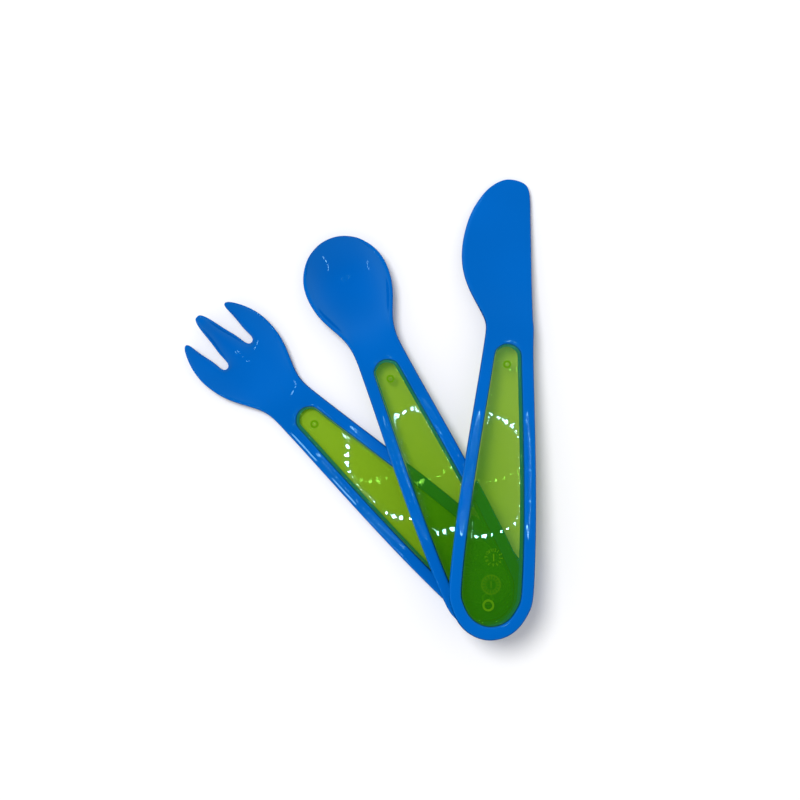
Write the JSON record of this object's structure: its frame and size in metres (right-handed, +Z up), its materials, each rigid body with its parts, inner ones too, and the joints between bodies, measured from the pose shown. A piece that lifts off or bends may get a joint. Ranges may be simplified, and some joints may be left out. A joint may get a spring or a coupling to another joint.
{
  "type": "plastic cutlery pack",
  "caption": "Child's plastic knife, spoon and fork, fanned out and stacked, each a blue body with a translucent green grip set in its handle.",
  "frame": {"origin": "on the table, at the middle of the fanned set's bounding box", "axes": "+Z up from the table, +Y from the butts towards the heads and nearly along the knife, +X towards the knife's side"},
  "size_m": [0.1114, 0.1454, 0.0226],
  "materials": {
    "opaque_blue": "glossy moulded polypropylene",
    "translucent_green": "glossy translucent moulded plastic"
  },
  "bodies": {
    "root": {"knife_body": "opaque_blue", "knife_grip": "translucent_green", "spoon_body": "opaque_blue", "spoon_grip": "translucent_green", "fork_body": "opaque_blue", "fork_grip": "translucent_green"}
  },
  "joints": []
}
